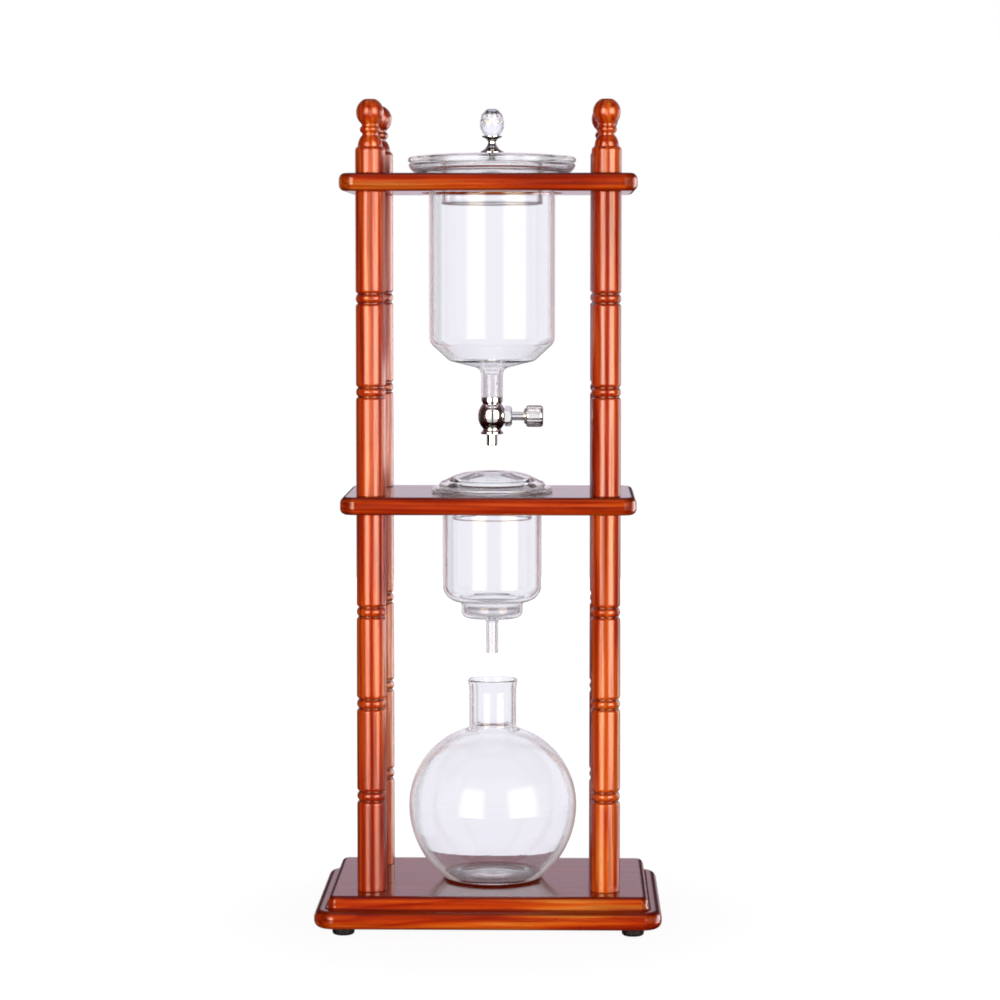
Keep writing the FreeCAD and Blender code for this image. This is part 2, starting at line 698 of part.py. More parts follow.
flat = 6.7 / math.cos(math.radians(30))
nut = new_body("packing_nut", (dim.vessel_x + 9.5, 0, dim.valve_z), lying=True)
hexagon = [(flat * math.cos(math.radians(60 * k)), flat * math.sin(math.radians(60 * k)))
           for k in range(6)]
pad(nut, "packing_nut_hexagon", outline(nut, "packing_nut_outline", hexagon, "XY_Plane"), 5.35)
groove(nut, "packing_nut_bore", [
    (0, -0.5), (5.5, -0.5), (5.5, 1.7), (dim.stem_bore, 1.7), (dim.stem_bore, 6), (0, 6)])
groove(nut, "packing_nut_chamfer", [(6.0, 5.6), (9.0, 5.6), (9.0, 2.9), (6.0, 5.35)])

stem = dim.stem_radius
turned("valve_stem", [
    (0, -2.4), (0.8, -2.4), (dim.needle_radius, 1.0), (dim.needle_radius, 6.3), (stem, 6.3),
    (stem, 8.2), (2.3, 8.2), (2.3, 9.6), (stem, 9.6), (stem, dim.stem_length - 0.4),
    (stem - 0.4, dim.stem_length), (0, dim.stem_length)],
    (dim.vessel_x, 0, dim.valve_z), lying=True)

ring_body = new_body("stem_o_ring", (dim.vessel_x, 0, dim.valve_z), lying=True)
ring_sketch = circles(ring_body, "stem_o_ring_section", [(2.95, 8.9)], 0.62, "XZ_Plane")
ring = ring_body.newObject("PartDesign::Revolution", "stem_o_ring_turned")
ring.Profile = ring_sketch
ring.ReferenceAxis = (ring_sketch, ["V_Axis"])
ring.Angle = 360
doc.recompute()

k0, k1, kr = dim.tap_knob_start, dim.tap_knob_end, dim.tap_knob_radius
grip = turned("valve_knob", [
    (stem + 0.05, k0), (5.0, k0, 0.5), (5.4, k0 + 0.4), (5.6, k0 + 0.9, -1.2), (6.4, k0 + 1.6, 1.9),
    (kr, k0 + 3.2), (kr, k1 - 2.4, 2.4), (5.9, k1 - 0.1), (5.2, k1 - 0.15, -30.0), (0, k1 - 0.6),
    (0, dim.stem_length + 0.4), (stem + 0.05, dim.stem_length + 0.4)],
    (dim.vessel_x, 0, dim.valve_z), lying=True)
flute = pocket(grip, "knob_flute",
               circles(grip, "knob_flute_circle", [(kr + 1.1, 0)], 1.75, "XY_Plane"), k1 + 1)
flutes = grip.newObject("PartDesign::PolarPattern", "knob_flutes")
flutes.Originals = [flute]
flutes.Axis = (grip.Group[0], ["V_Axis"])
flutes.Angle = 360
flutes.Occurrences = 10
grip.Tip = flutes
doc.recompute()
pocket(grip, "knob_screw_hole",
       circles(grip, "knob_screw_circle", [(0, 30.0)], 1.5, "YZ_Plane"), 12.0)

# Set screw in the knob, with its hexagon socket.
plug = doc.addObject("Part::Cylinder", "set_screw_plug")
plug.Radius = 1.45
plug.Height = 3.7
socket = doc.addObject("Part::Prism", "set_screw_socket")
socket.Polygon = 6
socket.Circumradius = 0.85
socket.Height = 2.0
socket.Placement = Placement(Vector(0, 0, 2.2), Rotation())
screw = doc.addObject("Part::Cut", "knob_set_screw")
screw.Label = "knob_set_screw"
screw.Base = plug
screw.Tool = socket
screw.Placement = Placement(Vector(31.5, 0, dim.valve_z.value - 3.3), Rotation(Vector(1, 0, 0), 180))
screw.setExpression("Placement.Base.x", (dim.vessel_x + 30.0).text)
screw.setExpression("Placement.Base.z", (dim.valve_z - dim.stem_radius - 0.15).text)
doc.recompute()
nodes.append(screw)

sp = dim.spout_radius
turned("drip_spout", [
    (duct, 0.4), (duct + 0.6, 0), (sp - 0.5, 0), (sp, 0.6), (sp, dim.spout_length),
    (3.0, dim.spout_length), (3.0, dim.spout_length + 5.6), (duct, dim.spout_length + 5.6)],
    (dim.vessel_x, 0, dim.valve_z - 13.3 - dim.spout_length))

# ------------------------------------------------------------- coffee vessel
# Outlet tube, filter well, rounded shoulder, straight body and a flange that
# lies on the middle board.
C, cw = dim.coffee_radius, dim.coffee_wall
W, fl = dim.well_radius, dim.coffee_flange
turned("coffee_vessel", [
    (dim.tube_bore, 0), (dim.tube_radius, 0), (dim.tube_radius, 22.4, -4.0), (8.6, 26.4),
    (W - 5.0, 26.4, 5.05), (W, 31.5), (W, 36.0, -2.5), (25.2, 38.6, 12.0), (C, 51.4),
    (C, 118.0, -3.0), (C + 2.6, 121.0), (fl, 121.0, 1.46), (fl, 123.9), (C + 0.1, 123.9, 2.5),
    (C - cw, 121.4), (C - cw, 51.2, -9.6), (25.04, 41.0), (W + 0.1, 41.0, 2.5),
    (W - cw, 38.5), (W - cw, 31.5, -2.61), (W - cw - 2.6, 28.9), (9.0, 28.9, 6.0),
    (dim.tube_bore, 23.5)],
    (dim.vessel_x, 0, dim.coffee_z))

turned("filter_disc", [
    (0, 0), (dim.disc_radius - 0.4, 0), (dim.disc_radius, 0.4),
    (dim.disc_radius, dim.disc_thick - 0.3), (dim.disc_radius - 0.3, dim.disc_thick),
    (0, dim.disc_thick)],
    (dim.vessel_x, 0, dim.coffee_z + 28.95))
turned("filter_gasket", [
    (dim.disc_radius + 0.03, 0), (W - cw - 0.08, 0), (W - cw - 0.08, 1.6, 0.6),
    (W - cw - 0.6, 2.1), (dim.disc_radius + 0.03, 2.1)],
    (dim.vessel_x, 0, dim.coffee_z + 31.6))

cc = dim.coffee_collar_radius
cl = dim.coffee_lid_radius
hole = dim.drip_hole_radius
turned("coffee_lid", [
    (hole, 8.9), (13.2, 8.7, -42.0), (cc - cw, 3.6), (cc - cw, -23.1, 1.21), (cc, -23.1),
    (cc, 0), (cl - 0.9, 0, 1.1), (cl, 1.2, 4.5), (cl - 4.3, 4.6, 45.0), (13.4, 11.2, 3.0),
    (12.0, 11.5), (hole + 0.8, 11.0, 1.2), (hole, 10.2)],
    (dim.vessel_x, 0, dim.coffee_lid_z))

# -------------------------------------------------------------------- carafe
# Round flask with a flattened bottom, a slight punt and a flared neck.
Q, up, cn, tw = dim.carafe_radius, dim.carafe_waist, dim.carafe_neck, dim.carafe_wall
lip = dim.carafe_height
turned("carafe", [
    (0, 1.6), (26.5, 0.0), (33.0, 0.0, 7.26), (37.66, 1.7, 69.36), (Q, up, 59.43),
    (20.5, 111.59, -4.6), (cn, 115.2), (cn, lip - 8.0, -26.0), (cn + 1.2, lip, 1.11),
    (cn - 1.0, lip, 23.8), (cn - tw, lip - 8.0), (cn - tw, 115.8, 4.6), (17.8, 110.08, -57.23),
    (Q - tw, up, -67.16), (36.97, 4.0, -4.54), (34.0, 2.9), (26.5, 2.9), (0, 4.4)],
    (dim.carafe_x, 0, base_top))

# -------------------------------------------------------------------- output
doc.recompute()
for obj in doc.Objects:
    if "Invalid" in obj.State or "Error" in obj.State:
        raise RuntimeError("%s did not build: %s" % (obj.Label, obj.State))
    if obj.TypeId == "Sketcher::SketchObject" and not obj.FullyConstrained:
        raise RuntimeError("%s is not fully constrained" % obj.Label)

groups = ("middle_dowel_screws", "top_dowel_screws", "base_bolts", "foot_screws")
os.makedirs("parts", exist_ok=True)
for old in os.listdir("parts"):
    if old.endswith(".step"):
        os.remove(os.path.join("parts", old))
for node in nodes:
    shape = node.Shape
    if shape.isNull() or not shape.isValid():
        raise RuntimeError(node.Label + " has no valid shape")
    wanted = 4 if node.Label in groups else 1
    if len(shape.Solids) != wanted or shape.Volume <= 0:
        raise RuntimeError("%s has %d solids" % (node.Label, len(shape.Solids)))
    box = shape.BoundBox
    print("%-24s %9.2f mm3  x %7.2f %7.2f  y %7.2f %7.2f  z %7.2f %7.2f" % (
        node.Label, shape.Volume, box.XMin, box.XMax, box.YMin, box.YMax, box.ZMin, box.ZMax))
for node in nodes:
    node.Shape.exportStep("parts/%s.step" % node.Label)
print(len(nodes), "nodes")
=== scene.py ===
import bpy
import math
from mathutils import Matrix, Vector

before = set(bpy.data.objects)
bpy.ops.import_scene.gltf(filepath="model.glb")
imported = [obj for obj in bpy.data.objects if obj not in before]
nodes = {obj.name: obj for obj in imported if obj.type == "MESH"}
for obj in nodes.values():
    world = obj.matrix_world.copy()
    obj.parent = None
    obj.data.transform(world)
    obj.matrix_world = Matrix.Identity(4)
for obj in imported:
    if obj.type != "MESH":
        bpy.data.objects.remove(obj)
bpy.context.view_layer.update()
scene = bpy.context.scene

# ---------------------------------------------------------------- render looks
scene.view_settings.view_transform = "Standard"
scene.view_settings.look = "None"
scene.view_settings.exposure = 0.0
scene.view_settings.gamma = 1.0
scene.cycles.max_bounces = 32
scene.cycles.transmission_bounces = 32
scene.cycles.transparent_max_bounces = 32
scene.cycles.glossy_bounces = 12
scene.cycles.diffuse_bounces = 4
scene.cycles.caustics_reflective = False
scene.cycles.caustics_refractive = False
scene.cycles.use_denoising = True
scene.cycles.filter_width = 1.9

# ---------------------------------------------------------------- camera
eye = bpy.data.cameras.new("eye")
eye.sensor_width = 36.0
eye.lens = 111.96
eye.clip_start = 0.05
eye.clip_end = 200.0
camera = bpy.data.objects.new("eye", eye)
camera.location = (0.0547, -2.3043, 0.4834)
camera.rotation_euler = (math.radians(90.0 - 4.224), 0.0, math.radians(1.176))
scene.collection.objects.link(camera)
scene.camera = camera


# ---------------------------------------------------------------- node helpers
def add(tree, kind, inputs=None, **props):
    """A node with its properties and inputs set. An input is a value or a socket to link."""
    n = tree.nodes.new(kind)
    for key, value in props.items():
        setattr(n, key, value)
    for key, value in (inputs or {}).items():
        s = n.inputs[key]
        if isinstance(value, bpy.types.NodeSocket):
            tree.links.new(value, s)
        else:
            s.default_value = value
    return n


def calc(tree, operation, *values, clamp=False):
    n = add(tree, "ShaderNodeMath", dict(enumerate(values)), operation=operation, use_clamp=clamp)
    return n.outputs[0]


def remap(tree, value, low, high, to_low=0.0, to_high=1.0, smooth=True):
    n = add(
        tree,
        "ShaderNodeMapRange",
        {0: value, 1: low, 2: high, 3: to_low, 4: to_high},
        interpolation_type="SMOOTHSTEP" if smooth else "LINEAR",
    )
    return n.outputs[0]


def blend_colour(tree, factor, a, b, mode="MIX"):
    n = add(tree, "ShaderNodeMix", {0: factor, 6: a, 7: b}, data_type="RGBA", blend_type=mode)
    return n.outputs[2]


def ramp(tree, value, stops):
    n = add(tree, "ShaderNodeValToRGB", {0: value})
    e = n.color_ramp.elements
    while len(e) < len(stops):
        e.new(0.5)
    for item, (position, colour) in zip(e, stops):
        item.position = position
        item.color = (*colour, 1.0)
    return n.outputs[0]


def stretched(tree, coords, scale, offset=(0.0, 0.0, 0.0)):
    return add(
        tree, "ShaderNodeMapping", {"Vector": coords, "Location": offset, "Scale": scale}
    ).outputs[0]


def noise(tree, vector, scale, detail=2.0, rough=0.5, distortion=0.0):
    n = add(
        tree,
        "ShaderNodeTexNoise",
        {"Vector": vector, "Scale": scale, "Detail": detail, "Roughness": rough, "Distortion": distortion},
        noise_dimensions="3D",
    )
    return n.outputs[0]


def blank(name):
    m = bpy.data.materials.new(name)
    m.use_nodes = True
    m.node_tree.nodes.clear()
    return m, m.node_tree


def output(tree, surface, volume=None):
    links = {"Surface": surface}
    if volume is not None:
        links["Volume"] = volume
    add(tree, "ShaderNodeOutputMaterial", links)


# ---------------------------------------------------------------- stage: world, floor, lights
def band(tree, value, rise, fall):
    """1 between the two soft edges, 0 outside. Each edge is a pair of values."""
    return calc(tree, "MULTIPLY", remap(tree, value, *rise), remap(tree, value, *fall, 1.0, 0.0))


def layer(tree, under, amount, colour):
    """The colour, times the amount, laid over what is under it."""
    return blend_colour(tree, amount, under, (*colour, 1.0))


def deg(*angles):
    return tuple(math.radians(v) for v in angles)


def make_world():
    """A white studio. Polished things mirror two tall softboxes in front and a lilac wall at the back; all else in the room is dark
    to them."""
    w = bpy.data.worlds.new("studio")
    scene.world = w
    w.use_nodes = True
    w.cycles.sampling_method = "NONE"
    t = w.node_tree
    t.nodes.clear()
    way = add(t, "ShaderNodeTexCoord").outputs["Generated"]
    way = add(t, "ShaderNodeVectorMath", {0: way}, operation="NORMALIZE").outputs[0]
    x, y, z = add(t, "ShaderNodeSeparateXYZ", {0: way}).outputs
    # azimuth: 0 to the front, positive towards +X, in radians
    azimuth = calc(t, "ARCTAN2", x, calc(t, "MULTIPLY", y, -1.0))

    # what mirrors see
    gloss = (0.030, 0.028, 0.032, 1.0)
    gloss = layer(t, gloss, remap(t, z, 0.55, 0.90), (0.20, 0.19, 0.22))
    wall = calc(
        t,
        "MULTIPLY",
        calc(t, "MAXIMUM", remap(t, azimuth, *deg(104, 122)), remap(t, azimuth, *deg(-150, -132), 1.0, 0.0)),
        band(t, z, (-0.16, -0.06), (0.35, 0.80)),
    )
    tone = blend_colour(t, remap(t, z, 0.07, 0.20), (0.80, 0.71, 0.81, 1.0), (0.72, 0.56, 0.66, 1.0))
    gloss = blend_colour(t, wall, gloss, tone)
    high = band(t, z, (-0.225, -0.140), (0.36, 0.58))
    left = band(t, azimuth, deg(-52, -34), deg(-21, -6))
    right = band(t, azimuth, deg(16, 34), deg(52, 72))
    boxes = calc(t, "MULTIPLY", calc(t, "MAXIMUM", left, right), high)
    gloss = layer(t, gloss, boxes, (16.0, 13.6, 9.8))

    # what is seen through glass
    clear = blend_colour(t, remap(t, z, -0.30, 0.30), (0.97, 0.962, 1.02, 1.0), (1.01, 1.002, 1.06, 1.0))
    # the backdrop's frame and what stands beside it, low down: thin grey edges in the glass
    low = band(t, z, (-0.27, -0.21), (0.12, 0.24))
    frame_left = band(t, azimuth, deg(-173.5, -171.5), deg(-170, -168))
    clear = layer(t, clear, calc(t, "MULTIPLY", frame_left, low), (0.74, 0.735, 0.77))
    wing_left = band(t, azimuth, deg(-165, -161), deg(-150, -142))
    clear = layer(t, clear, calc(t, "MULTIPLY", wing_left, low), (0.58, 0.565, 0.58))
    wing_right = band(t, azimuth, deg(142, 152), deg(163, 169))
    clear = layer(t, clear, calc(t, "MULTIPLY", wing_right, low), (0.42, 0.375, 0.395))

    # what lights matt surfaces: a low ring of light, dim overhead
    soft = remap(t, z, 0.10, 0.60, 0.38, 0.07)
    matt = add(t, "ShaderNodeCombineColor", {0: soft, 1: soft, 2: soft}).outputs[0]

    path = add(t, "ShaderNodeLightPath")
    colour = blend_colour(t, path.outputs["Is Diffuse Ray"], clear, matt)
    colour = blend_colour(t, path.outputs["Is Glossy Ray"], colour, gloss)
    colour = blend_colour(t, path.outputs["Is Transmission Ray"], colour, clear)
    colour = blend_colour(t, path.outputs["Is Camera Ray"], colour, (1.0, 1.0, 1.0, 1.0))
    back = add(t, "ShaderNodeBackground", {"Color": colour, "Strength": 1.0})
    add(t, "ShaderNodeOutputWorld", {"Surface": back.outputs[0]})


def make_floor():
    """A white floor that takes a faint soft shadow; its glow is painted a little dimmer near the object, a painted
    shade around it. It is left out of mirror images, where it would only be more of the dark room.
    """
    mesh = bpy.data.meshes.new("floor")
    s = 40.0
    mesh.from_pydata([(-s, -s, 0), (s, -s, 0), (s, s, 0), (-s, s, 0)], [], [(0, 1, 2, 3)])
    ob = bpy.data.objects.new("floor", mesh)
    scene.collection.objects.link(ob)
    m, t = blank("pale_floor")
    path = add(t, "ShaderNodeLightPath")
    place = add(t, "ShaderNodeTexCoord").outputs["Object"]
    away = add(t, "ShaderNodeVectorMath", {0: place}, operation="LENGTH").outputs["Value"]
    # painted shade: the glow is dimmer close to the object and a little brighter far off
    glow = remap(t, away, 0.14, 0.36, 0.94, 1.03)
    shade = add(
        t,
        "ShaderNodeAddShader",
        {
            0: add(t, "ShaderNodeBsdfDiffuse", {"Color": (0.16, 0.16, 0.16, 1.0)}).outputs[0],
            1: add(t, "ShaderNodeEmission", {"Color": (1, 1, 1, 1), "Strength": glow}).outputs[0],
        },
    ).outputs[0]
    low = add(t, "ShaderNodeEmission", {"Color": (0.22, 0.21, 0.22, 1), "Strength": 1.0}).outputs[0]
    through = add(t, "ShaderNodeEmission", {"Color": (0.95, 0.93, 1.0, 1), "Strength": 1.0}).outputs[0]
    seen = add(t, "ShaderNodeMixShader", {0: path.outputs["Is Camera Ray"], 1: low, 2: shade}).outputs[0]
    gone = add(t, "ShaderNodeBsdfTransparent", {"Color": (1, 1, 1, 1)}).outputs[0]
    through = add(t, "ShaderNodeMixShader", {0: remap(t, away, 0.30, 0.55), 1: through, 2: gone}).outputs[0]
    seen = add(t, "ShaderNodeMixShader", {0: path.outputs["Is Transmission Ray"], 1: seen, 2: through}).outputs[0]
    mirrored = calc(t, "MULTIPLY", path.outputs["Is Glossy Ray"], calc(t, "SUBTRACT", 1.0, path.outputs["Is Transmission Ray"]))
    output(t, add(t, "ShaderNodeMixShader", {0: mirrored, 1: seen, 2: gone}).outputs[0])
    mesh.materials.append(m)


def softbox(name, at, towards, width, height, radiance, colour=(1, 1, 1)):
    """A rectangular soft light for matt surfaces. Its radiance doesn't change with its size."""
    lamp = bpy.data.lights.new(name, "AREA")
    lamp.shape = "RECTANGLE"
    lamp.size = width
    lamp.size_y = height
    lamp.energy = radiance * math.pi * width * height
    lamp.color = colour
    ob = bpy.data.objects.new(name, lamp)
    ob.location = at
    ob.rotation_mode = "QUATERNION"
    ob.rotation_quaternion = (Vector(towards) - Vector(at)).to_track_quat("-Z", "Y")
    ob.visible_camera = False
    ob.visible_glossy = False
    ob.visible_transmission = False
    scene.collection.objects.link(ob)
    return ob


make_world()
make_floor()
softbox("key_left", (-0.95, -1.65, 0.30), (0, 0, 0.30), 0.9, 0.6, 1.8)
softbox("key_right", (1.05, -1.60, 0.30), (0, 0, 0.30), 0.9, 0.6, 4.2)
softbox("key_front", (0.0, -2.70, 0.36), (0, 0, 0.32), 0.9, 0.7, 23.5)
softbox("fill_back", (0.0, 2.60, 0.30), (0, 0, 0.30), 1.4, 0.5, 11.0)


# ---------------------------------------------------------------- finishes
def wood(name, along, heart, seed, tone=0.0, lean=(0.0, 0.0), turned=None, lift=None):
    """Stained hardwood under gloss lacquer. along: 0 for grain along X, 2 along Z. heart: where the tree's middle runs,
    in the two other axes, in metres, so that the year rings cut the piece as they would. lift: the heights between
    which the colour is
    lighter, and by how much. turned: the axis of a turned piece and its full
    radius; stain gathers in its grooves. On a board painted shade darkens the rounded top edges and the faces that look
    down, and the rounded upright corners are darker."""
    m, t = blank(name)
    place = add(t, "ShaderNodeTexCoord").outputs["Object"]
    xyz = add(t, "ShaderNodeSeparateXYZ", {0: place}).outputs
    run = xyz[along]
    u, v = (xyz[1], xyz[2]) if along == 0 else (xyz[0], xyz[1])

    def scaled(fine, coarse):
        return (coarse, fine, fine) if along == 0 else (fine, fine, coarse)

    off = (seed * 1.37, seed * 2.11, seed * 0.73)
    # slow drift of the rings, so that their lines wander
    drift = noise(t, stretched(t, place, scaled(34.0, 7.0), off), 1.0, 2.0, 0.5)
    sway = noise(t, stretched(t, place, scaled(8.0, 2.6), off), 1.0, 1.0, 0.5)
    du = calc(t, "SUBTRACT", calc(t, "SUBTRACT", u, heart[0]), calc(t, "MULTIPLY", run, lean[0]))
    dv = calc(t, "SUBTRACT", calc(t, "SUBTRACT", v, heart[1]), calc(t, "MULTIPLY", run, lean[1]))
    reach = calc(t, "SQRT", calc(t, "ADD", calc(t, "MULTIPLY", du, du), calc(t, "MULTIPLY", dv, dv)))
    reach = calc(t, "ADD", reach, calc(t, "MULTIPLY", calc(t, "SUBTRACT", drift, 0.5), 0.0050))
    reach = calc(t, "ADD", reach, calc(t, "MULTIPLY", calc(t, "SUBTRACT", sway, 0.5), 0.0180))
    year = calc(t, "FRACT", calc(t, "MULTIPLY", reach, 1.0 / 0.0037))
    # early wood rises slowly to a dark late band, then drops
    late = calc(t, "MULTIPLY", remap(t, year, 0.35, 0.86), remap(t, year, 0.90, 1.0, 1.0, 0.0))
    # broad streaks of stain
    streak = noise(t, stretched(t, place, scaled(190.0, 5.0), off), 1.0, 3.0, 0.55)
    cloud = noise(t, stretched(t, place, scaled(38.0, 6.0), off), 1.0, 2.0, 0.5)
    # fibres and pores
    fibre = noise(t, stretched(t, place, scaled(1150.0, 26.0), off), 1.0, 3.0, 0.6)
    pore = noise(t, stretched(t, place, scaled(2100.0, 120.0), off), 1.0, 1.0, 0.5)
    pore = remap(t, pore, 0.66, 0.74)
    mix = calc(t, "ADD", 0.56 + tone, calc(t, "MULTIPLY", calc(t, "SUBTRACT", streak, 0.5), 1.35))
    mix = calc(t, "ADD", mix, calc(t, "MULTIPLY", calc(t, "SUBTRACT", cloud, 0.5), 1.25))
    mix = calc(t, "SUBTRACT", mix, calc(t, "MULTIPLY", late, 0.20))
    # the colour is made lighter between the given heights
    if lift:
        mix = calc(t, "ADD", mix, calc(t, "MULTIPLY", band(t, xyz[2], lift[0:2], lift[2:4]), lift[4]))
    mix = calc(t, "ADD", mix, calc(t, "MULTIPLY", calc(t, "SUBTRACT", fibre, 0.5), 0.35), clamp=True)
    colour = ramp(
        t,
        mix,
        [
            (0.05, (0.190, 0.0080, 0.0006)),
            (0.32, (0.340, 0.0170, 0.0009)),
            (0.55, (0.500, 0.0400, 0.0015)),
            (0.78, (0.640, 0.0950, 0.0045)),
            (1.00, (0.720, 0.2200, 0.0280)),
        ],
    )
    colour = blend_colour(t, calc(t, "MULTIPLY", pore, 0.55), colour, (0.110, 0.0050, 0.0005, 1.0))
    if turned:
        dx, dy = (calc(t, "SUBTRACT", xyz[k], turned[k]) for k in (0, 1))
        out = calc(t, "SQRT", calc(t, "ADD", calc(t, "MULTIPLY", dx, dx), calc(t, "MULTIPLY", dy, dy)))
        groove_stain_and_edge_shade = remap(t, out, turned[2] - 0.0014, turned[2] - 0.0003, 0.62, 0.0)
    else:
        up = add(t, "ShaderNodeSeparateXYZ", {0: add(t, "ShaderNodeNewGeometry").outputs["Normal"]}).outputs[2]
        # painted shade: a board's rounded top edges and the faces that look down are darkened
        groove_stain_and_edge_shade = calc(t, "MULTIPLY", band(t, up, (0.50, 0.80), (0.985, 1.0)), 0.70)
        under = calc(t, "MULTIPLY", band(t, up, (-1.0, -0.985), (-0.85, -0.35)), 0.45)
        groove_stain_and_edge_shade = calc(t, "MAXIMUM", groove_stain_and_edge_shade, under)
        # on the broad flat faces the stain is more even
        flat = calc(t, "MULTIPLY", remap(t, up, 0.975, 0.995), 0.60)
        colour = blend_colour(t, flat, colour, (0.300, 0.0190, 0.0012, 1.0))
    colour = blend_colour(t, groove_stain_and_edge_shade, colour, (0.085, 0.0040, 0.0005, 1.0))
    # dark lines along the grain, in the stain and in the lacquer that sinks into them
    line = noise(t, stretched(t, place, scaled(520.0, 9.0), off), 1.0, 2.0, 0.5)
    line = calc(t, "MULTIPLY", remap(t, line, 0.50, 0.66), remap(t, cloud, 0.35, 0.60, 0.35, 1.0))
    strength = 0.50 if turned else calc(t, "SUBTRACT", 0.40, calc(t, "MULTIPLY", flat, 0.50))
    colour = blend_colour(t, calc(t, "MULTIPLY", line, strength), colour, (0.120, 0.0060, 0.0006, 1.0))
    shine = calc(t, "SUBTRACT", 1.0, calc(t, "MULTIPLY", line, 0.55 if turned else 0.12))
    if not turned:
        # the rounded upright corners of a board: less lacquer shine, and a darker colour
        side = calc(t, "ABSOLUTE", add(t, "ShaderNodeSeparateXYZ", {0: add(t, "ShaderNodeNewGeometry").outputs["Normal"]}).outputs[0])
        corner = band(t, side, (0.04, 0.30), (0.62, 0.82))
        shine = calc(t, "MULTIPLY", shine, calc(t, "SUBTRACT", 1.0, calc(t, "MULTIPLY", corner, 0.92)))
        colour = blend_colour(t, calc(t, "MULTIPLY", corner, 0.45), colour, (0.085, 0.0040, 0.0005, 1.0))
    rough = calc(t, "ADD", 0.34, calc(t, "MULTIPLY", fibre, 0.16))
    grain_height = calc(t, "SUBTRACT", calc(t, "MULTIPLY", fibre, 0.4), pore)
    grain = add(t, "ShaderNodeBump", {"Strength": 0.12, "Distance": 0.0002, "Height": grain_height}).outputs[0]
    flow = noise(t, stretched(t, place, scaled(95.0, 30.0), off), 1.0, 2.0, 0.5)
    lacquer = add(t, "ShaderNodeBump", {"Strength": 0.09 if turned else 0.035, "Distance": 0.0006, "Height": flow}).outputs[0]
    p = add(
        t,
        "ShaderNodeBsdfPrincipled",
        {
            "Base Color": colour,
            "Roughness": rough,
            "IOR": 1.45,
            "Specular IOR Level": 0.0,
            "Normal": grain,
            "Coat Weight": shine,
            "Coat Roughness": (0.235 if turned[0] < 0 else 0.19) if turned else 0.12,
            "Coat IOR": 1.5,
            "Coat Normal": lacquer,
        },
    )
    output(t, p.outputs[0])
    return m


def glass(
    name, ior=1.47, absorb=(0.80, 0.79, 0.84), density=6.0, wave=0.05, base=(0.962, 0.962, 0.974), gleam=0.3, haze=0.35, tall=None, shine=1.0, punt=None
):
    """Clear blown glass with a little of its own grey and a slow waviness. Lamps shine through it. haze: how much light
    the wall scatters where an upright wall turns away. tall: heights and stops of a colour that changes with height,
    used to paint shade and dark edge lines into the glass. punt: middle, rise and level of a pushed-in bottom, whose
    slope is a little steeper to light than it is drawn; its ring near the rim gets a painted reflection of the dark
    board."""
    m, t = blank(name)
    place = add(t, "ShaderNodeTexCoord").outputs["Object"]
    slow = noise(t, stretched(t, place, (26.0, 26.0, 12.0)), 1.0, 2.0, 0.5)
    bump = add(t, "ShaderNodeBump", {"Strength": wave, "Distance": 0.0010, "Height": slow}).outputs[0]
    if punt:
        middle, rise, level = punt
        x, y, z = add(t, "ShaderNodeSeparateXYZ", {0: place}).outputs
        dx = calc(t, "SUBTRACT", x, middle)
        out = calc(t, "SQRT", calc(t, "ADD", calc(t, "MULTIPLY", dx, dx), calc(t, "MULTIPLY", y, y)))
        bottom = calc(t, "LESS_THAN", z, level)
        pushed = calc(t, "MULTIPLY", remap(t, out, 0.010, 0.034, rise, 0.0), bottom)
        bump = add(t, "ShaderNodeBump", {"Strength": 1.0, "Distance": 1.0, "Height": pushed, "Normal": bump}).outputs[0]
    p = add(
        t,
        "ShaderNodeBsdfPrincipled",
        {
            "Base Color": (*base, 1.0),
            "Roughness": 0.0,
            "IOR": ior,
            "Specular IOR Level": gleam,
            "Specular Tint": (shine, shine, shine, 1.0),
            "Transmission Weight": 1.0,
            "Normal": bump,
        },
    )
    aside = add(t, "ShaderNodeLayerWeight", {"Blend": 0.5}).outputs["Facing"]
    if haze:
        edge = calc(t, "MULTIPLY", remap(t, aside, 0.60, 0.70), remap(t, aside, 0.74, 0.90, haze, haze * 0.75))
        level = calc(t, "ABSOLUTE", add(t, "ShaderNodeSeparateXYZ", {0: add(t, "ShaderNodeNewGeometry").outputs["Normal"]}).outputs[2])
        edge = calc(t, "MULTIPLY", edge, remap(t, level, 0.80, 0.95, 1.0, 0.0))
        t.links.new(calc(t, "SUBTRACT", 1.0, edge), p.inputs["Transmission Weight"])
    if punt:
        # the bottom is thickest near its rim; there its colour is tinted brown, a painted reflection of the dark board
        painted_board_reflection = calc(t, "MULTIPLY", band(t, out, (0.012, 0.024), (0.033, 0.038)), bottom)
        tinted = blend_colour(t, calc(t, "MULTIPLY", painted_board_reflection, 0.85), (*base, 1.0), (0.42, 0.27, 0.31, 1.0))
        t.links.new(tinted, p.inputs["Base Color"])
    # painted shade: the glass's colour changes by height, painting shade and dark edge lines into it
    if tall:
        low, high, stops = tall
        up = remap(t, add(t, "ShaderNodeSeparateXYZ", {0: place}).outputs[2], low, high, smooth=False)
        t.links.new(ramp(t, up, stops), p.inputs["Base Color"])
    path = add(t, "ShaderNodeLightPath")
    let = calc(t, "MAXIMUM", path.outputs["Is Shadow Ray"], path.outputs["Is Diffuse Ray"])
    open_ = add(t, "ShaderNodeBsdfTransparent", {"Color": (0.96, 0.96, 0.97, 1.0)})
    both = add(t, "ShaderNodeMixShader", {0: let, 1: p.outputs[0], 2: open_.outputs[0]})
    volume = None
    if density:
        volume = add(t, "ShaderNodeVolumeAbsorption", {"Color": (*absorb, 1.0), "Density": density}).outputs[0]
    output(t, both.outputs[0], volume)
    return m


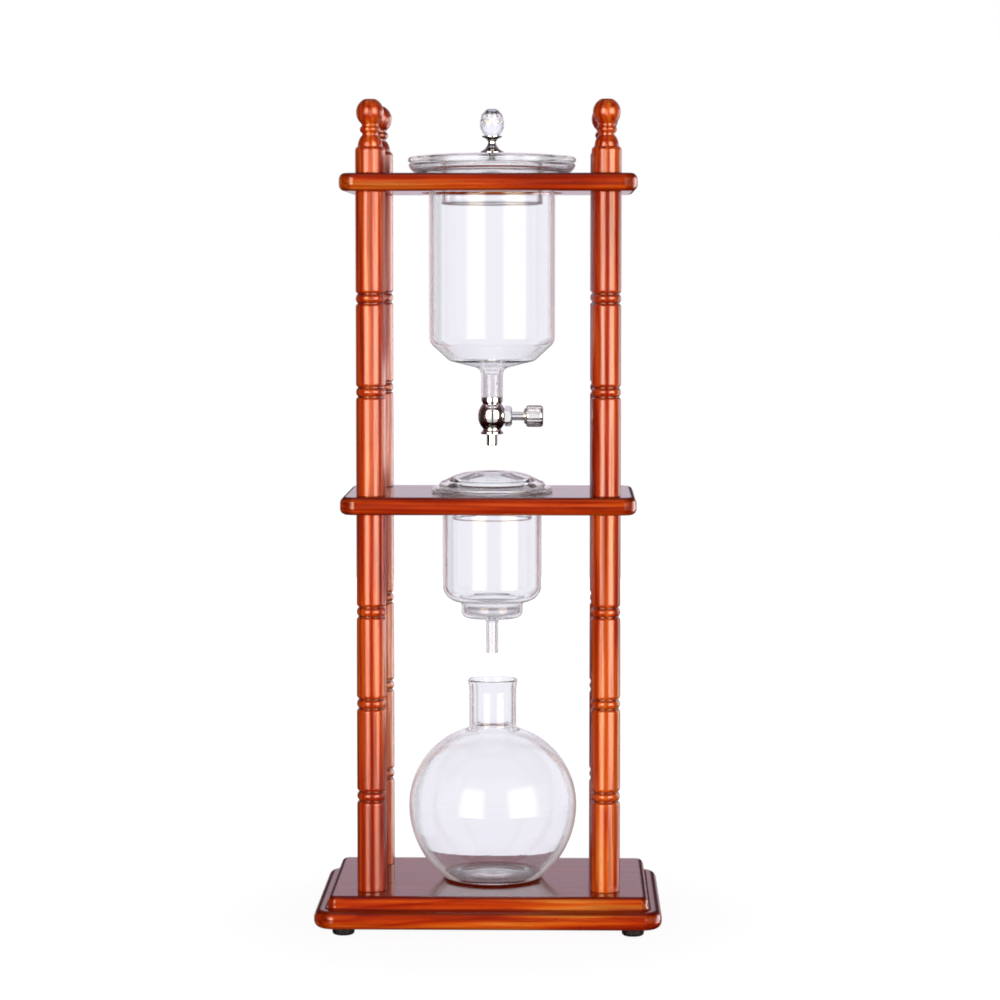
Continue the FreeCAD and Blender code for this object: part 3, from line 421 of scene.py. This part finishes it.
def metal(name, colour, low, high, scale, scratch=0.02, under=0.0):
    """Bright metal whose polish varies a little. under: how much the faces that look down are darkened, a painted
    reflection of the dark below them.
    """
    m, t = blank(name)
    place = add(t, "ShaderNodeTexCoord").outputs["Object"]
    haze = noise(t, place, scale, 3.0, 0.6)
    fine = noise(t, stretched(t, place, (2600.0, 2600.0, 420.0)), 1.0, 2.0, 0.5)
    rough = calc(t, "ADD", remap(t, haze, 0.3, 0.7, low, high), calc(t, "MULTIPLY", fine, scratch))
    tint = blend_colour(t, haze, (*colour, 1.0), (*[c * 0.93 for c in colour], 1.0))
    if under:
        # painted reflection: the faces that look down are tinted dark, standing for the dark they would mirror
        up = add(t, "ShaderNodeSeparateXYZ", {0: add(t, "ShaderNodeNewGeometry").outputs["Normal"]}).outputs[2]
        tint = blend_colour(t, calc(t, "MULTIPLY", remap(t, up, -0.45, -0.12, 1.0, 0.0), under), tint, (0.05, 0.05, 0.06, 1.0))
    bump = add(t, "ShaderNodeBump", {"Strength": 0.02, "Distance": 0.0001, "Height": fine}).outputs[0]
    p = add(t, "ShaderNodeBsdfPrincipled", {"Base Color": tint, "Metallic": 1.0, "Roughness": rough, "Normal": bump})
    p.inputs["Specular Tint"].default_value = (0.22, 0.20, 0.26, 1.0)
    output(t, p.outputs[0])
    return m


def rubber(name, colour, rough, grain, clear=0.0, gleam=0.2):
    m, t = blank(name)
    place = add(t, "ShaderNodeTexCoord").outputs["Object"]
    speck = noise(t, place, grain, 3.0, 0.6)
    tint = blend_colour(t, speck, (*colour, 1.0), (*[c * 0.75 for c in colour], 1.0))
    bump = add(t, "ShaderNodeBump", {"Strength": 0.15, "Distance": 0.0002, "Height": speck}).outputs[0]
    r = remap(t, speck, 0.3, 0.7, rough - 0.06, rough + 0.06)
    p = add(
        t,
        "ShaderNodeBsdfPrincipled",
        {"Base Color": tint, "Roughness": r, "IOR": 1.45, "Specular IOR Level": gleam, "Normal": bump, "Transmission Weight": clear},
    )
    output(t, p.outputs[0])
    return m


def frit(name):
    """Sintered glass grains, white and porous."""
    m, t = blank(name)
    place = add(t, "ShaderNodeTexCoord").outputs["Object"]
    cell = add(t, "ShaderNodeTexVoronoi", {"Vector": place, "Scale": 1500.0}, feature="F1").outputs["Distance"]
    tint = ramp(t, cell, [(0.0, (0.97, 0.97, 0.98)), (0.75, (0.92, 0.915, 0.94))])
    bump = add(t, "ShaderNodeBump", {"Strength": 0.4, "Distance": 0.0004, "Height": cell}, invert=True).outputs[0]
    p = add(
        t,
        "ShaderNodeBsdfPrincipled",
        {"Base Color": tint, "Roughness": 0.45, "IOR": 1.20, "Specular IOR Level": 0.2, "Normal": bump, "Transmission Weight": 0.45},
    )
    output(t, p.outputs[0])
    return m


def wear(name, material):
    ob = nodes[name]
    if ob.material_slots:
        for s in ob.material_slots:
            s.material = material
    else:
        ob.data.materials.append(material)


# boards: grain along X, each sawn from another place in the log
wear("base_board", wood("wood_base", 0, (0.060, -0.110), 1.0, 0.00, lift=(0.0185, 0.0225, 0.0270, 0.0295, 0.20)))
wear("middle_shelf", wood("wood_middle", 0, (-0.050, 0.220), 2.0, -0.14))
wear("top_shelf", wood("wood_top", 0, (0.090, 0.430), 3.0, 0.12))

# posts and finials: grain along Z
PX, PY = 0.0853, 0.05105
corners = {"front_left": (-PX, -PY), "front_right": (PX, -PY), "back_left": (-PX, PY), "back_right": (PX, PY)}
turn = 0.4
for i, (corner, (x, y)) in enumerate(corners.items()):
    for j, kind in enumerate(("lower_post", "upper_post", "finial")):
        turn += 1.9
        far = 0.045 + 0.02 * ((i * 3 + j * 5) % 4)
        heart = (x + far * math.cos(turn), y + far * math.sin(turn))
        lean = (0.03 * math.sin(turn * 1.7), 0.03 * math.cos(turn * 2.3))
        tone = {"lower_post": (-0.08, 0.03, 0.02, 0.0), "upper_post": (0.07, -0.10, 0.08, -0.05), "finial": (0.10, 0.06, 0.05, 0.05)}[kind][i]
        round_ = (x, y, 0.01085 if kind != "finial" else 0.0)
        wear(f"{kind}_{corner}", wood(f"wood_{kind}_{corner}", 2, heart, 4.0 + i * 3 + j, tone, lean, round_))

# two side lamps that only the glass catches, in the haze of its edges; then white cards that only some pieces show: two tall ones in front with a dark gap between them for the valve's body and what hangs
# on it, a middle and a high one for the nut, stem and knob at its side, and strips at the right behind for the lacquered posts
BODY = ("valve_body", "drip_spout", "lid_knob_base")
SIDE = ("packing_nut", "valve_knob")
TURNED = [name for name in nodes if name.startswith(("lower_", "upper_", "finial_"))]
LEFT, RIGHT = ([name for name in TURNED if name.endswith(side)] for side in ("_left", "_right"))
BACK_LEFT = ["lower_post_back_left", "upper_post_back_left", "finial_back_left"]
GOLD = ["upper_post_front_left", "upper_post_back_left", "finial_front_left", "finial_back_left", "finial_front_right"]
BOARDS = ["base_board", "middle_shelf", "top_shelf"]
DISC = ("filter_disc", "filter_gasket")
GLASS = ("water_vessel", "coffee_vessel", "carafe")
for side, at in (("left", (-1.25, -0.25, 0.30)), ("right", (1.25, -0.25, 0.30))):
    lit = bpy.data.collections.new(f"lit_by_{side}_glow")
    for name in GLASS:
        lit.objects.link(nodes[name])
    glow = softbox(f"glow_{side}", at, (0.0, 0.0, 0.30), 0.9, 1.0, 3.8, (0.95, 0.96, 1.0))
    glow.light_linking.receiver_collection = lit
# light from above that falls through the boards' holes on the filter
lit = bpy.data.collections.new("lit_by_above_glow")
for name in DISC:
    lit.objects.link(nodes[name])
softbox("glow_above", (0.0, 0.0, 1.30), (0.0, 0.0, 0.0), 0.3, 0.3, 30.0).light_linking.receiver_collection = lit
for side, pieces, at, towards, width, height, radiance, colour in (
    ("left", BODY, (-0.50, -1.0, 0.40), (-0.50, 0.0, 0.40), 0.93, 2.0, 1.0, (1, 1, 1)),
    ("right", BODY, (0.68, -1.0, 0.40), (0.68, 0.0, 0.40), 0.97, 2.0, 1.0, (1, 1, 1)),
    ("middle", SIDE + ("valve_stem",), (0.02, -1.0, 0.40), (0.02, 0.0, 0.40), 0.70, 1.1, 1.05, (1, 1, 1)),
    ("above", SIDE, (0.02, -0.45, 1.60), (0.02, 0.0, 0.38), 0.9, 1.2, 1.25, (1, 1, 1)),
    ("gold", GOLD, (-0.03, -1.50, 0.40), (-0.03, 0.0, 0.40), 0.60, 1.2, 4.8, (1.0, 0.72, 0.42)),
    ("rim", LEFT, (1.04, 0.60, 0.28), (0.0, 0.0, 0.28), 1.30, 1.0, 6.0, (1.0, 0.86, 0.78)),
    ("high_rim", GOLD[:3], (1.04, 0.60, 0.28), (0.0, 0.0, 0.28), 1.30, 1.0, 5.5, (1.0, 0.86, 0.78)),
    ("flank", BACK_LEFT, (1.30, -0.33, 0.28), (0.0, 0.0, 0.28), 1.10, 1.0, 8.5, (1.0, 0.86, 0.78)),
    ("high_flank", BACK_LEFT[1:], (1.30, -0.33, 0.28), (0.0, 0.0, 0.28), 1.10, 1.0, 13.0, (1.0, 0.92, 0.86)),
    ("end", BOARDS, (1.30, 0.20, 0.28), (0.0, 0.0, 0.28), 1.50, 1.1, 7.0, (1.0, 0.92, 0.90)),
    ("edge", RIGHT, (1.04, 0.60, 0.28), (0.0, 0.0, 0.28), 0.80, 1.0, 2.6, (1.0, 0.86, 0.78)),
):
    lit = bpy.data.collections.new(f"lit_by_{side}_card")
    for name in pieces:
        lit.objects.link(nodes[name])
    card = softbox(f"card_{side}", at, towards, width, height, radiance, colour)
    card.visible_glossy = True
    card.visible_diffuse = False
    card.light_linking.receiver_collection = lit

clear_glass = glass("clear_glass", base=(0.951, 0.951, 0.961), haze=0.6, shine=0.55)
for name in ("water_vessel", "coffee_vessel"):
    wear(name, clear_glass)
wear("carafe", glass("flask_glass", base=(0.955, 0.955, 0.963), gleam=0.14, haze=0.75, shine=0.45, punt=(0.002, 0.0028, 0.0345)))
# painted shade: the collar's colour is grey along its bottom edge, a painted dark line
collar_painted_shade = [(0.0, (0.560, 0.560, 0.580)), (0.045, (0.560, 0.560, 0.580)), (0.085, (0.995, 0.995, 0.998)), (1.0, (0.995, 0.995, 0.998))]
lid_glass = glass("lid_glass", ior=1.28, density=0.0, base=(0.995, 0.995, 0.998), gleam=0.2, haze=0.0, shine=0.45, tall=(0.5310, 0.5710, collar_painted_shade))
wear("water_lid", lid_glass)
# painted shade: the dome gets a dark grey band near its foot and turns greyer towards its top
dome_painted_shade = [
    (0.12, (0.985, 0.985, 0.990)),
    (0.18, (0.250, 0.245, 0.260)),
    (0.25, (0.250, 0.245, 0.260)),
    (0.31, (0.985, 0.985, 0.990)),
    (0.50, (0.985, 0.985, 0.990)),
    (0.60, (0.900, 0.902, 0.915)),
    (1.00, (0.800, 0.805, 0.825)),
]
wear("coffee_lid", glass("dome_glass", ior=1.33, density=0.0, gleam=0.2, haze=0.0, tall=(0.322, 0.336, dome_painted_shade)))
crystal = glass("crystal_glass", ior=1.53, density=0.0, wave=0.0, base=(0.93, 0.92, 0.97), gleam=0.05, haze=0.0)
t = crystal.node_tree
aside = add(t, "ShaderNodeLayerWeight", {"Blend": 0.5}).outputs["Facing"]
# painted shade: the crystal's colour darkens where its facets turn away from the eye
painted_facet_shade = ramp(t, aside, [(0.10, (0.93, 0.925, 0.965)), (0.32, (0.78, 0.77, 0.83)), (0.52, (0.42, 0.41, 0.46)), (0.80, (0.20, 0.19, 0.23))])
t.links.new(painted_facet_shade, next(n for n in t.nodes if n.type == "BSDF_PRINCIPLED").inputs["Base Color"])
wear("crystal_knob", crystal)

chrome = metal("chrome_plate", (0.80, 0.79, 0.81), 0.03, 0.07, 300.0, under=0.85)
for name in BODY:
    wear(name, chrome)
side_chrome = metal("chrome_plate_side", (0.80, 0.79, 0.81), 0.03, 0.07, 300.0, under=0.30)
for name in SIDE + ("valve_stem",):
    wear(name, side_chrome)
steel = metal("zinc_steel", (0.62, 0.62, 0.64), 0.24, 0.38, 900.0, 0.08)
for name in ("middle_dowel_screws", "top_dowel_screws", "base_bolts", "foot_screws", "knob_screw", "knob_set_screw"):
    wear(name, steel)

feet_rubber = rubber("foot_rubber", (0.0055, 0.0050, 0.0062), 0.55, 700.0)
for corner in corners:
    wear(f"foot_{corner}", feet_rubber)
wear("stem_o_ring", rubber("black_rubber", (0.02, 0.02, 0.02), 0.45, 900.0))
milky = rubber("silicone", (0.84, 0.83, 0.91), 0.50, 500.0, gleam=0.05)
for name in ("valve_sleeve", "knob_washer", "filter_gasket"):
    wear(name, milky)
wear("filter_disc", frit("sintered_disc"))
